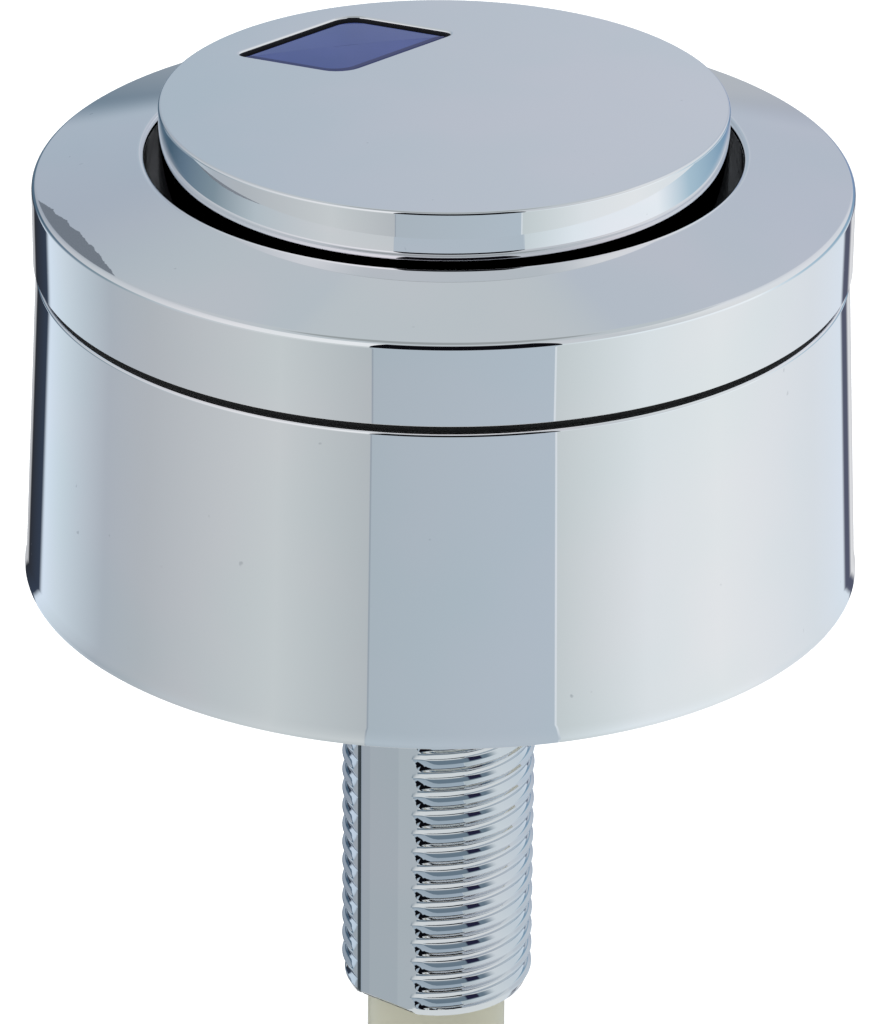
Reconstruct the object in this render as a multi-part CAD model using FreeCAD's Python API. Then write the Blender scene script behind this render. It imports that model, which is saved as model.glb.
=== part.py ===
"""Push button actuator for a toilet cistern, turned and moulded pieces, in millimetres.

A chrome drum stands on the cistern lid and its hollow threaded stem goes down through the
lid. A sprung round button slides in the bezel on top and pushes a tube down through the stem
for the full flush. A small blue key slides in the button and pushes a rod inside the tube
for the half flush. +Z is up, and the origin is the middle of the drum's underside.
"""
import FreeCAD, Part
import math
import os

V = FreeCAD.Vector
ORIGIN = V(0, 0, 0)
UP = V(0, 0, 1)

# Drum
BASE_R = 35.0
LIP_OUT = 0.17
LIP_H = 0.9
HOUSING_TOP_R = 33.45
HOUSING_H = 26.7
HOUSING_WALL = 2.2
FLOOR_T = 4.0
EDGE_BEVEL = 0.3

# Gasket let into the underside
GASKET_W = 7.5
GASKET_INSIDE_SCREWS = 0.8
GASKET_T = 1.6

# Shadow groove between drum and bezel
GROOVE_H = 0.75
GROOVE_DEPTH = 0.55

# Bezel ring, with a top face that rises to the hole
BEZEL_OVERHANG = 0.2
BEZEL_SIDE_H = 6.9
BEZEL_EDGE_BEVEL = 0.4
BEZEL_WALL = 2.1
STOP_LEDGE = 2.5
HOLE_RISE = 2.6
HOLE_BEVEL = 0.3
BEZEL_SKIRT_WALL = 1.5
BEZEL_SKIRT_H = 6.95
SPIGOT_H = 6.0
SPIGOT_WALL = 1.6
SNAP_DEPTH = 1.0
SNAP_W = 7.0
SNAP_H = 1.6
SNAP_DOWN = 3.0

# Round button and what carries it
BUTTON_GAP = 1.35
BUTTON_PROUD = 3.9
BUTTON_BEVEL = 0.25
CAP_T = 1.5
CAP_WALL = 1.6
BUTTON_TRAVEL = 7.0
CARRIER_T = 1.6
BOSS_WALL = 2.4
BOSS_ABOVE = 3.0
BOSS_BELOW = 6.9
SOCKET_H = 4.5
CARRIER_RIM_H = 2.5
CARRIER_RIM_WALL = 1.4
RIB_T = 1.4
RIB_H = 1.9
EAR_W = 5.0
EAR_OUT = 0.9

# Guide barrel inside the drum
BARREL_WALL = 2.05
BARREL_FOOT_T = 2.2
BARREL_FOOT_W = 6.0
BARREL_ABOVE_STOP = 1.5
BARREL_SCREW_IN = 2.7
KEYWAY_BELOW = 2.0

# Blue key in its lozenge window
KEY_TURN = 123.0
KEY_FROM_RIM = 8.05
KEY_LONG = 19.2
KEY_SHORT = 13.3
KEY_LONG_TURN = 16.5
KEY_SHORT_TURN = 89.2
KEY_TIP_R = 0.7
KEY_SIDE_R = 2.4
KEY_LEAST_R = 0.2
KEY_GAP = 0.25
KEY_RECESS = 0.2
KEY_BEVEL = 0.35
KEY_LEDGE = 1.2
KEY_TRAVEL = 3.0
KEY_PAD_INSET = 0.8

# Slide under the key, which carries the inner rod
SLIDE_T = 1.5
SLIDE_DISC_BEYOND_SPRING = 1.2
SLIDE_ARM_W = 8.0
SLIDE_HUB_WALL = 1.5
SLIDE_HUB_REACH = 3.8
SLIDE_ROOF_T = 1.9

# Threaded stem
STEM_WALL = 1.98
STEM_LENGTH = 40.9
STEM_CHAMFER = 0.45
STEM_CHAMFER_H = 0.9
ROOT_OUT = 0.62
COLLAR_OUT = 0.32
COLLAR_LENGTH = 9.0
FLANGE_T = 2.2
HUB_OUT = 0.72
HUB_H = 2.0
FLAT_DEPTH = 0.53
FLAT_HALF_W = 1.45
LAND_TURN = 6.0
FLAT_END_CHAMFER = 0.6
FLAT_TURN = 233.6

# Push tube, inner rod and the bush that guides the tube
TUBE_R = 6.0
TUBE_WALL = 2.0
TUBE_BELOW_STEM = 20.0
TUBE_ROOM = 0.3
ROD_ROOM = 0.5
ROD_BELOW_TUBE = 5.0
END_CHAMFER = 0.4
BUSH_WALL = 1.3
BUSH_LENGTH = 7.0
BUSH_FLANGE_OUT = 1.5
BUSH_FLANGE_T = 1.2
NUT_WALL = 1.5
NUT_H = 3.5

# Springs
SPRING_OFF_HUB = 2.6
SPRING_WIRE_R = 0.7
SPRING_TURNS = 6.25
SPRING_STEPS = 14
SPRING_SIDES = 6
WASHER_T = 0.8
WASHER_HALF_W = 2.0
KEY_SPRING_OFF_BOSS = 1.2
KEY_SPRING_WIRE_R = 0.4
KEY_SPRING_TURNS = 3.25

# Screws, all in rings of three
SCREW_R = 1.4
SCREW_HEAD_R = 2.4
SCREW_HEAD_H = 1.2
SCREW_TIP_COVER = 1.0
PILOT_GAP = 0.05
SCREW_COUNT = 3
CAP_SCREW_LENGTH = 7.5
CAP_BOSS_R = 2.6
CAP_BOSS_GAP = 0.75
ROD_SCREW_LENGTH = 6.5

# Clearances
RUNNING = 0.05
SLIDING = 0.3
SEAT = 0.1

# Levels and radii worked out from the sizes above
BEZEL_Z = HOUSING_H + GROOVE_H
BEZEL_TOP_Z = BEZEL_Z + BEZEL_SIDE_H
HOLE_Z = BEZEL_TOP_Z + HOLE_RISE
STOP_Z = HOLE_Z - BEZEL_SKIRT_H
BUTTON_Z = HOLE_Z + BUTTON_PROUD
CAP_UNDER_Z = BUTTON_Z - CAP_T
CARRIER_Z = STOP_Z - CARRIER_T
BOSS_TOP_Z = STOP_Z + BOSS_ABOVE
BOSS_END_Z = CARRIER_Z - BOSS_BELOW
TUBE_TOP_Z = BOSS_END_Z + SOCKET_H
FLANGE_TOP_Z = FLOOR_T + FLANGE_T
HUB_TOP_Z = FLANGE_TOP_Z + HUB_H
STEM_END_Z = -STEM_LENGTH
TUBE_END_Z = STEM_END_Z - TUBE_BELOW_STEM
ROD_END_Z = TUBE_END_Z - ROD_BELOW_TUBE
KEY_TOP_Z = BUTTON_Z - KEY_RECESS
SLIDE_TOP_Z = CAP_UNDER_Z - SLIDE_T
SLIDE_Z = SLIDE_TOP_Z - SLIDE_T
ROD_TOP_Z = SLIDE_TOP_Z - SLIDE_ROOF_T
SPRING_Z = FLANGE_TOP_Z + WASHER_T
HOUSING_IN_R = HOUSING_TOP_R - HOUSING_WALL
SPIGOT_R = HOUSING_IN_R - SEAT
SPIGOT_IN_R = SPIGOT_R - SPIGOT_WALL
BARREL_R = SPIGOT_IN_R - SEAT
BARREL_IN_R = BARREL_R - BARREL_WALL
CARRIER_R = BARREL_IN_R - SLIDING
BARREL_SCREW_RING_R = BARREL_IN_R - BARREL_SCREW_IN
GASKET_OUT_R = BARREL_SCREW_RING_R - SCREW_R - GASKET_INSIDE_SCREWS
GASKET_IN_R = GASKET_OUT_R - GASKET_W
BEZEL_R = HOUSING_TOP_R + BEZEL_OVERHANG
HOLE_R = CARRIER_R - STOP_LEDGE
BUTTON_R = HOLE_R - BUTTON_GAP
CAP_IN_R = BUTTON_R - CAP_WALL
CARRIER_RIM_R = CAP_IN_R - SEAT
CAP_SCREW_RING_R = CARRIER_RIM_R - CARRIER_RIM_WALL - CAP_BOSS_R - CAP_BOSS_GAP
KEY_AT_R = BUTTON_R - KEY_FROM_RIM
ROD_R = TUBE_R - TUBE_WALL - ROD_ROOM
SLIDE_HUB_R = ROD_R + SLIDE_HUB_WALL
STEM_BORE_R = TUBE_R + TUBE_ROOM
STEM_R = STEM_BORE_R + STEM_WALL
ROOT_R = STEM_R + ROOT_OUT
COLLAR_R = STEM_R + COLLAR_OUT
HUB_R = STEM_R + HUB_OUT
FLAT_FROM_AXIS = STEM_R - FLAT_DEPTH
LAND_ANGLE = math.radians(LAND_TURN)
LAND_FROM_AXIS = FLAT_FROM_AXIS * math.cos(LAND_ANGLE) + FLAT_HALF_W * math.sin(LAND_ANGLE)
BUSH_R = TUBE_R + BUSH_WALL
BUSH_FLANGE_R = BUSH_R + BUSH_FLANGE_OUT
NUT_ACROSS = 2 * (TUBE_R + NUT_WALL)
SPRING_R = HUB_R + SPRING_OFF_HUB
BOSS_R = TUBE_R + BOSS_WALL
KEY_SPRING_R = BOSS_R + KEY_SPRING_OFF_BOSS
SLIDE_DISC_R = KEY_SPRING_R + SLIDE_DISC_BEYOND_SPRING
THIRD = 360.0 / SCREW_COUNT


def polygon(points):
    """Flat face through the points."""
    return Part.Face(Part.makePolygon(points + points[:1]))


def rounded(points, radii, grow=0.0):
    """Flat face through the points, each corner with its radius, moved out by grow."""
    count = len(points)
    arcs = []
    for i, point in enumerate(points):
        back = (points[i - 1] - point).normalize()
        on = (points[(i + 1) % count] - point).normalize()
        half = back.getAngle(on) / 2
        inward = (back + on).normalize() / math.sin(half)
        corner = point - inward * grow
        radius = max(radii[i] + grow, KEY_LEAST_R)
        centre = corner + inward * radius
        middle = centre - (back + on).normalize() * radius
        reach = radius / math.tan(half)
        arcs.append((corner + back * reach, middle, corner + on * reach))
    edges = []
    for i, (start, middle, end) in enumerate(arcs):
        edges.append(Part.Arc(start, middle, end).toShape())
        edges.append(Part.LineSegment(end, arcs[(i + 1) % count][0]).toShape())
    return Part.Face(Part.Wire(edges))


def turned(*corners):
    """Solid of revolution about Z from corners of radius, height and optional bevel."""
    count = len(corners)
    points = []
    for i, corner in enumerate(corners):
        here = V(corner[0], 0, corner[1])
        if len(corner) == 2:
            points.append(here)
            continue
        for other in (corners[i - 1], corners[(i + 1) % count]):
            points.append(here + (V(other[0], 0, other[1]) - here).normalize() * corner[2])
    return polygon(points).revolve(ORIGIN, UP, 360)


def rod(radius, low, high, x=0.0, y=0.0):
    """Upright cylinder between two heights."""
    return Part.makeCylinder(radius, high - low, V(x, y, low), UP)


def tube(radius, hole, low, high):
    """Upright tube between two heights."""
    return rod(radius, low, high).cut(rod(hole, low, high))


def around(shape, first_turn, count=SCREW_COUNT):
    """Copies of a shape spaced evenly round the axis, the first turned by first_turn degrees."""
    copies = []
    for i in range(count):
        copy = shape.copy()
        copy.rotate(ORIGIN, UP, first_turn + i * 360.0 / count)
        copies.append(copy)
    return copies


def block(low_x, high_x, width, low, high):
    """Box along +X, centred on the X axis."""
    return Part.makeBox(high_x - low_x, width, high - low, V(low_x, -width / 2, low))


def coil(radius, wire_r, turns, low, high):
    """Compression spring between two seats, lofted through many-sided sections of its wire."""
    steps = int(turns * SPRING_STEPS)
    sections = []
    for i in range(steps + 1):
        turn = math.radians(360 * turns * i / steps)
        middle_z = low + wire_r + (high - low - 2 * wire_r) * i / steps
        points = []
        for k in range(SPRING_SIDES):
            side = math.radians(360 * (k + 0.5) / SPRING_SIDES)
            reach = radius + wire_r * math.cos(side)
            z = middle_z + wire_r * math.sin(side)
            points.append(V(reach * math.cos(turn), reach * math.sin(turn), z))
        sections.append(Part.makePolygon(points + points[:1]))
    return Part.makeLoft(sections, True, True)


def lozenge(grow, low, high):
    """Upright prism with the key window's outline, moved out by grow."""
    where = math.radians(KEY_TURN)
    middle = V(KEY_AT_R * math.cos(where), KEY_AT_R * math.sin(where), low)
    points = []
    for turn, length in ((KEY_LONG_TURN, KEY_LONG), (KEY_SHORT_TURN, KEY_SHORT)):
        angle = math.radians(turn)
        points.append(middle + V(math.cos(angle), math.sin(angle), 0) * (length / 2))
    right, back = points
    left = middle * 2 - right
    front = middle * 2 - back
    radii = [KEY_TIP_R, KEY_SIDE_R, KEY_TIP_R, KEY_SIDE_R]
    return rounded([right, back, left, front], radii, grow).extrude(V(0, 0, high - low))


def make_housing():
    """Tapered drum, open on top, with a flared lip and a floor that the stem passes through."""
    side_r = BASE_R - LIP_OUT
    body = turned(
        (ROOT_R + SEAT, 0),
        (BASE_R, 0),
        (side_r, LIP_H),
        (HOUSING_TOP_R, HOUSING_H, EDGE_BEVEL),
        (HOUSING_IN_R, HOUSING_H),
        (HOUSING_IN_R, FLOOR_T),
        (ROOT_R + SEAT, FLOOR_T),
    )
    body = body.cut(tube(GASKET_OUT_R, GASKET_IN_R, 0, GASKET_T))
    pilot = rod(SCREW_R + PILOT_GAP, SCREW_TIP_COVER, FLOOR_T, BARREL_SCREW_RING_R)
    return body.cut(around(pilot, KEY_TURN + THIRD / 2))


def make_base_gasket():
    """Rubber ring let into the underside, flush with it."""
    return tube(GASKET_OUT_R - SEAT, GASKET_IN_R + SEAT, 0, GASKET_T)


def make_joint_seal():
    """Black ring that holds the bezel off the drum and shows as a groove."""
    return tube(HOUSING_TOP_R - GROOVE_DEPTH, HOUSING_IN_R, HOUSING_H, BEZEL_Z)


def make_bezel_ring():
    """Ring with a conical top, an inner skirt for the button and a spigot with snap windows."""
    slope = HOLE_RISE / (BEZEL_R - HOLE_R)
    roof_drop = BEZEL_WALL * math.hypot(1, slope)
    skirt_out_r = HOLE_R + BEZEL_SKIRT_WALL
    spigot_z = BEZEL_Z - SPIGOT_H
    ring = turned(
        (SPIGOT_R, BEZEL_Z),
        (BEZEL_R, BEZEL_Z),
        (BEZEL_R, BEZEL_TOP_Z, BEZEL_EDGE_BEVEL),
        (HOLE_R, HOLE_Z, HOLE_BEVEL),
        (HOLE_R, STOP_Z),
        (skirt_out_r, STOP_Z),
        (skirt_out_r, HOLE_Z - BEZEL_SKIRT_WALL * slope - roof_drop),
        (SPIGOT_IN_R, BEZEL_TOP_Z + (BEZEL_R - SPIGOT_IN_R) * slope - roof_drop),
        (SPIGOT_IN_R, spigot_z),
        (SPIGOT_R, spigot_z),
    )
    return ring.cut(around(snap_hook(SEAT, SPIGOT_R + SEAT), KEY_TURN + THIRD / 2))


def snap_hook(grow, out_r):
    """Hook on the barrel's side, or with grow the window in the spigot that it snaps into."""
    middle_z = BEZEL_Z - SNAP_DOWN
    half = SNAP_H / 2 + grow
    return block(BARREL_R - RUNNING, out_r, SNAP_W + 2 * grow, middle_z - half, middle_z + half)


def make_guide_barrel():
    """Inner moulding on the stem's flange, with keyways that stop the button from turning."""
    top_z = STOP_Z + BARREL_ABOVE_STOP
    foot_z = FLANGE_TOP_Z + BARREL_FOOT_T
    barrel = turned(
        (BARREL_IN_R - BARREL_FOOT_W, FLANGE_TOP_Z),
        (BARREL_R, FLANGE_TOP_Z),
        (BARREL_R, top_z),
        (BARREL_IN_R, top_z),
        (BARREL_IN_R, foot_z),
        (BARREL_IN_R - BARREL_FOOT_W, foot_z),
    )
    barrel = barrel.fuse(around(snap_hook(0, BARREL_R + SNAP_DEPTH), KEY_TURN + THIRD / 2))
    keyway_r = CARRIER_R + EAR_OUT + SLIDING
    keyway_z = CARRIER_Z - BUTTON_TRAVEL - KEYWAY_BELOW
    keyway = block(CARRIER_R, keyway_r, EAR_W + 2 * SLIDING, keyway_z, top_z)
    barrel = barrel.cut(around(keyway, KEY_TURN))
    hole = rod(SCREW_R + PILOT_GAP, FLANGE_TOP_Z, foot_z, BARREL_SCREW_RING_R)
    return barrel.cut(around(hole, KEY_TURN + THIRD / 2)).removeSplitter()


def screw(x, head_z, length):
    """Cheese-head screw pointing down, with its head's bearing face at head_z."""
    head = rod(SCREW_HEAD_R, head_z, head_z + SCREW_HEAD_H, x)
    return head.fuse(rod(SCREW_R, head_z - length, head_z, x))


def make_barrel_screws():
    """Three screws through the barrel's foot and the stem's flange into the floor."""
    head_z = FLANGE_TOP_Z + BARREL_FOOT_T
    one = screw(BARREL_SCREW_RING_R, head_z, head_z - SCREW_TIP_COVER)
    return Part.makeCompound(around(one, KEY_TURN + THIRD / 2))


def make_threaded_stem():
    """Hollow stem with a flange on the floor, a plain collar and two flats along its thread.

    Each flat has a slightly turned land on both sides. The thread itself isn't cut: below the
    collar the stem is as wide as its crests.
    """
    stem = turned(
        (STEM_BORE_R, STEM_END_Z),
        (STEM_R - STEM_CHAMFER, STEM_END_Z),
        (STEM_R, STEM_END_Z + STEM_CHAMFER_H),
        (STEM_R, -COLLAR_LENGTH),
        (COLLAR_R, -COLLAR_LENGTH),
        (COLLAR_R, 0),
        (ROOT_R, 0),
        (ROOT_R, FLOOR_T),
        (BARREL_R, FLOOR_T),
        (BARREL_R, FLANGE_TOP_Z),
        (HUB_R, FLANGE_TOP_Z),
        (HUB_R, HUB_TOP_Z),
        (BUSH_R, HUB_TOP_Z),
        (BUSH_R, HUB_TOP_Z - BUSH_LENGTH),
        (STEM_BORE_R, HUB_TOP_Z - BUSH_LENGTH),
    )
    beyond = block(FLAT_FROM_AXIS, STEM_R * 2, STEM_R * 2, STEM_END_Z, -COLLAR_LENGTH)
    stem = stem.cut(around(beyond, FLAT_TURN, 2))
    beyond = block(LAND_FROM_AXIS, STEM_R * 2, STEM_R * 2, STEM_END_Z, -COLLAR_LENGTH)
    for turn in (FLAT_TURN - LAND_TURN, FLAT_TURN + LAND_TURN):
        stem = stem.cut(around(beyond, turn, 2))
    corner = polygon([
        V(FLAT_FROM_AXIS - FLAT_END_CHAMFER, -STEM_R, STEM_END_Z),
        V(STEM_R, -STEM_R, STEM_END_Z),
        V(STEM_R, -STEM_R, STEM_END_Z + FLAT_DEPTH + FLAT_END_CHAMFER),
    ])
    stem = stem.cut(around(corner.extrude(V(0, STEM_R * 2, 0)), FLAT_TURN, 2))
    hole = rod(SCREW_R + PILOT_GAP, FLOOR_T, FLANGE_TOP_Z, BARREL_SCREW_RING_R)
    return stem.cut(around(hole, KEY_TURN + THIRD / 2))


def make_guide_bush():
    """Flanged bush pressed into the top of the stem, in which the push tube runs."""
    bore_r = TUBE_R + RUNNING
    return turned(
        (bore_r, HUB_TOP_Z - BUSH_LENGTH),
        (BUSH_R - RUNNING, HUB_TOP_Z - BUSH_LENGTH),
        (BUSH_R - RUNNING, HUB_TOP_Z),
        (BUSH_FLANGE_R, HUB_TOP_Z),
        (BUSH_FLANGE_R, HUB_TOP_Z + BUSH_FLANGE_T),
        (bore_r, HUB_TOP_Z + BUSH_FLANGE_T),
    )


def make_spring_washer():
    """Flat steel seat for the main spring on the stem's flange."""
    return tube(SPRING_R + WASHER_HALF_W, SPRING_R - WASHER_HALF_W, FLANGE_TOP_Z, SPRING_Z)


def make_return_spring():
    """Main spring between its washer and the button's carrier."""
    return coil(SPRING_R, SPRING_WIRE_R, SPRING_TURNS, SPRING_Z, CARRIER_Z)


def make_button_cap():
    """Round chrome cap with the key's window and three screw bosses under its top."""
    cap = turned(
        (0, BUTTON_Z),
        (BUTTON_R, BUTTON_Z, BUTTON_BEVEL),
        (BUTTON_R, STOP_Z),
        (CAP_IN_R, STOP_Z),
        (CAP_IN_R, CAP_UNDER_Z),
        (0, CAP_UNDER_Z),
    )
    boss = rod(CAP_BOSS_R, STOP_Z, CAP_UNDER_Z, CAP_SCREW_RING_R)
    cap = cap.fuse(around(boss, KEY_TURN + THIRD / 2))
    pilot = rod(SCREW_R + PILOT_GAP, STOP_Z, STOP_Z + CAP_SCREW_LENGTH, CAP_SCREW_RING_R)
    cap = cap.cut(around(pilot, KEY_TURN + THIRD / 2))
    return cap.cut(lozenge(0, CAP_UNDER_Z, BUTTON_Z)).removeSplitter()


def make_button_carrier():
    """Moulded plate under the cap, with guide ears, ribs round the spring and a central boss."""
    spring_room_r = SPRING_R + SPRING_WIRE_R + SLIDING
    rim_in_r = CARRIER_RIM_R - CARRIER_RIM_WALL
    carrier = rod(CARRIER_R, CARRIER_Z, STOP_Z)
    carrier = carrier.fuse(rod(BOSS_R, BOSS_END_Z, BOSS_TOP_Z))
    carrier = carrier.fuse(tube(CARRIER_RIM_R, rim_in_r, STOP_Z, STOP_Z + CARRIER_RIM_H))
    ear = block(HOLE_R, CARRIER_R + EAR_OUT, EAR_W, CARRIER_Z, STOP_Z)
    carrier = carrier.fuse(around(ear, KEY_TURN))
    rib = block(spring_room_r, HOLE_R, RIB_T, CARRIER_Z - RIB_H, CARRIER_Z)
    carrier = carrier.fuse(around(rib, KEY_TURN))
    hole = rod(SCREW_R + PILOT_GAP, CARRIER_Z, STOP_Z, CAP_SCREW_RING_R)
    carrier = carrier.cut(around(hole, KEY_TURN + THIRD / 2))
    carrier = carrier.cut(rod(SLIDE_HUB_R + RUNNING, BOSS_END_Z, BOSS_TOP_Z))
    return carrier.cut(rod(TUBE_R + RUNNING, BOSS_END_Z, TUBE_TOP_Z)).removeSplitter()


def make_cap_screws():
    """Three screws from under the carrier into the cap's bosses."""
    length = CARRIER_T + CAP_SCREW_LENGTH - SCREW_TIP_COVER
    one = screw(CAP_SCREW_RING_R, -CARRIER_Z, length)
    one.rotate(ORIGIN, V(1, 0, 0), 180)
    return Part.makeCompound(around(one, KEY_TURN + THIRD / 2))


def make_push_tube():
    """Off-white tube from the carrier's socket down through the stem, for the full flush."""
    in_r = TUBE_R - TUBE_WALL
    return turned(
        (in_r, TUBE_END_Z),
        (TUBE_R - END_CHAMFER, TUBE_END_Z),
        (TUBE_R, TUBE_END_Z + END_CHAMFER),
        (TUBE_R, TUBE_TOP_Z),
        (in_r, TUBE_TOP_Z),
    )


def make_tube_lock_nut():
    """Six-sided nut that locks the push tube's length under the carrier's boss."""
    corner_r = NUT_ACROSS / 2 / math.cos(math.radians(30))
    low_z = BOSS_END_Z - NUT_H
    corners = []
    for i in range(6):
        angle = math.radians(60 * i)
        corners.append(V(corner_r * math.cos(angle), corner_r * math.sin(angle), low_z))
    nut = polygon(corners).extrude(V(0, 0, NUT_H))
    return nut.cut(rod(TUBE_R + RUNNING, low_z, BOSS_END_Z))


def make_flush_key():
    """Blue key tile, held from below by its ledge and a little lower than the button."""
    tile = lozenge(-KEY_GAP, SLIDE_TOP_Z, KEY_TOP_Z)
    rim = [edge for edge in tile.Edges if edge.BoundBox.ZMin > KEY_TOP_Z - RUNNING]
    tile = tile.makeChamfer(KEY_BEVEL, rim)
    ledge = lozenge(KEY_LEDGE, SLIDE_TOP_Z, CAP_UNDER_Z)
    ledge = ledge.common(rod(CAP_IN_R - SLIDING, SLIDE_TOP_Z, CAP_UNDER_Z))
    return tile.fuse(ledge).removeSplitter()


def make_key_slide():
    """Moulded arm from the key to the axis, with a hub that slides in the carrier's boss."""
    pad = lozenge(-KEY_PAD_INSET, SLIDE_Z, SLIDE_TOP_Z)
    arm = block(0, KEY_AT_R, SLIDE_ARM_W, SLIDE_Z, SLIDE_TOP_Z)
    arm.rotate(ORIGIN, UP, KEY_TURN)
    disc = rod(SLIDE_DISC_R, SLIDE_Z, SLIDE_TOP_Z)
    hub = rod(SLIDE_HUB_R, BOSS_TOP_Z - SLIDE_HUB_REACH, SLIDE_TOP_Z)
    slide = pad.fuse([arm, disc, hub])
    slide = slide.cut(rod(ROD_R + RUNNING, BOSS_TOP_Z - SLIDE_HUB_REACH, ROD_TOP_Z))
    return slide.cut(rod(SCREW_R + PILOT_GAP, ROD_TOP_Z, SLIDE_TOP_Z)).removeSplitter()


def make_inner_rod():
    """Rod inside the push tube, for the half flush."""
    body = turned(
        (0, ROD_END_Z),
        (ROD_R - END_CHAMFER, ROD_END_Z),
        (ROD_R, ROD_END_Z + END_CHAMFER),
        (ROD_R, ROD_TOP_Z),
        (0, ROD_TOP_Z),
    )
    return body.cut(rod(SCREW_R + PILOT_GAP, SLIDE_TOP_Z - ROD_SCREW_LENGTH, ROD_TOP_Z))


def make_rod_screw():
    """Screw down through the slide's hub into the top of the inner rod."""
    return screw(0, SLIDE_TOP_Z, ROD_SCREW_LENGTH - SEAT)


def make_key_spring():
    """Small spring round the carrier's boss that lifts the key."""
    return coil(KEY_SPRING_R, KEY_SPRING_WIRE_R, KEY_SPRING_TURNS, STOP_Z, SLIDE_Z)


PIECES = {
    "housing": make_housing,
    "base_gasket": make_base_gasket,
    "threaded_stem": make_threaded_stem,
    "guide_bush": make_guide_bush,
    "spring_washer": make_spring_washer,
    "return_spring": make_return_spring,
    "guide_barrel": make_guide_barrel,
    "barrel_screws": make_barrel_screws,
    "joint_seal": make_joint_seal,
    "bezel_ring": make_bezel_ring,
    "button_cap": make_button_cap,
    "button_carrier": make_button_carrier,
    "cap_screws": make_cap_screws,
    "push_tube": make_push_tube,
    "tube_lock_nut": make_tube_lock_nut,
    "flush_key": make_flush_key,
    "key_slide": make_key_slide,
    "key_spring": make_key_spring,
    "inner_rod": make_inner_rod,
    "rod_screw": make_rod_screw,
}

os.makedirs("parts", exist_ok=True)
for name, make in PIECES.items():
    shape = make()
    shape.exportStep("parts/" + name + ".step")
    print(name, "solids", len(shape.Solids), "valid", shape.isValid(), "cm3", round(shape.Volume / 1000, 3))
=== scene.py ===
"""Looks of the push button cistern actuator: chrome, plastics, its thread, light and camera."""
import bmesh
import bpy
import math
from mathutils import Matrix, Vector


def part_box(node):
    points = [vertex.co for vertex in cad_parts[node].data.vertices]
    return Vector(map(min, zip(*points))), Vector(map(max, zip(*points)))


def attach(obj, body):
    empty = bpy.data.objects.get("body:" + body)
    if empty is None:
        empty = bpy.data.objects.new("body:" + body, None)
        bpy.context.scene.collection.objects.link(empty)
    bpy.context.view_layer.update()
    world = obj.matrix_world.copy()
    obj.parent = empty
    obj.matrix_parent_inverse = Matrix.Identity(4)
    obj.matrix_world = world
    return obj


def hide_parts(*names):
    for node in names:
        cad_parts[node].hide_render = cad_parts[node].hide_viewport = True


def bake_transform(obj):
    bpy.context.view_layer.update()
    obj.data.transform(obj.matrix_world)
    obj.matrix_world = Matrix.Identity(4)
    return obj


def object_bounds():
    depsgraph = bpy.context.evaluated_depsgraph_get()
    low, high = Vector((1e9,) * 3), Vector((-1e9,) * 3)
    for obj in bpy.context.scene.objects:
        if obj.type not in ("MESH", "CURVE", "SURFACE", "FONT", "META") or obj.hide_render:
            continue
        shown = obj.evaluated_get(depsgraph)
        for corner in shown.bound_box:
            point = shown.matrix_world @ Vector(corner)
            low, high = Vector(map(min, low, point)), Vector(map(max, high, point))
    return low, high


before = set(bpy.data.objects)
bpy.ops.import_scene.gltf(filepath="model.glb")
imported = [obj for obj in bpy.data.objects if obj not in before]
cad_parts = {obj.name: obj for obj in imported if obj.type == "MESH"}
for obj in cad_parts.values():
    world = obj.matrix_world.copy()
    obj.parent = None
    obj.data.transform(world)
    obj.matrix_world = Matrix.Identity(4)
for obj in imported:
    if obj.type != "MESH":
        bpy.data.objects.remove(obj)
cad_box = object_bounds()

MM = 0.001

# Steps of the round shapes and of the rounded corners
STEPS = 288
ROUND_STEPS = 6
WINDOW_ROUND_STEPS = 4
DOME_STEPS = 8
THREAD_STEPS = 144
SPRING_STEPS = 36
WIRE_SIDES = 16
ROD_SIDES = 40

# How near two places have to be to count as one, strictly and less strictly
NEAR = 1e-7
ROUGHLY = 1e-6

# Share of a rounding that still fits, because its end may not meet the next corner
JUST_UNDER = 0.999

# How far a cutting shape reaches past what it cuts
PAST = 0.5 * MM

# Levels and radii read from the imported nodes
CAP_LOW, CAP_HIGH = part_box("button_cap")
BEZEL_LOW, BEZEL_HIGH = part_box("bezel_ring")
HOUSING_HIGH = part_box("housing")[1]
STEM_LOW, STEM_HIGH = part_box("threaded_stem")
SEAL_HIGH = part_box("joint_seal")[1]
KEY_LOW, KEY_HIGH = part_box("flush_key")

# Drum
BASE_R = HOUSING_HIGH.x
HOUSING_H = HOUSING_HIGH.z
LIP_OUT = 0.17 * MM
LIP_H = 0.9 * MM
HOUSING_TOP_R = 33.45 * MM
HOUSING_WALL = 2.2 * MM
FLOOR_T = 4.0 * MM
HOUSING_ROUND = 0.26 * MM
LIP_ROUND = 0.04 * MM
LIP_BEND = 0.6 * MM
GASKET_IN_R = 15.0 * MM
GASKET_OUT_R = 22.45 * MM
GASKET_T = 1.6 * MM
ROOT_HOLE_R = 9.0 * MM

# Bezel ring
BEZEL_R = BEZEL_HIGH.x
BEZEL_Z = SEAL_HIGH.z
HOLE_Z = BEZEL_HIGH.z
BEZEL_TOP_Z = HOLE_Z - 2.6 * MM
BEZEL_ROUND = 0.48 * MM
HOLE_R = 24.4 * MM
HOLE_ROUND = 0.68 * MM
BEZEL_WALL = 2.1 * MM
SKIRT_WALL = 1.5 * MM
STOP_Z = CAP_LOW.z
SPIGOT_Z = BEZEL_LOW.z
SPIGOT_R = 31.15 * MM
SPIGOT_IN_R = 29.55 * MM
SNAP_W = 7.2 * MM
SNAP_H = 1.8 * MM
SNAP_DOWN = 3.0 * MM

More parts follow.
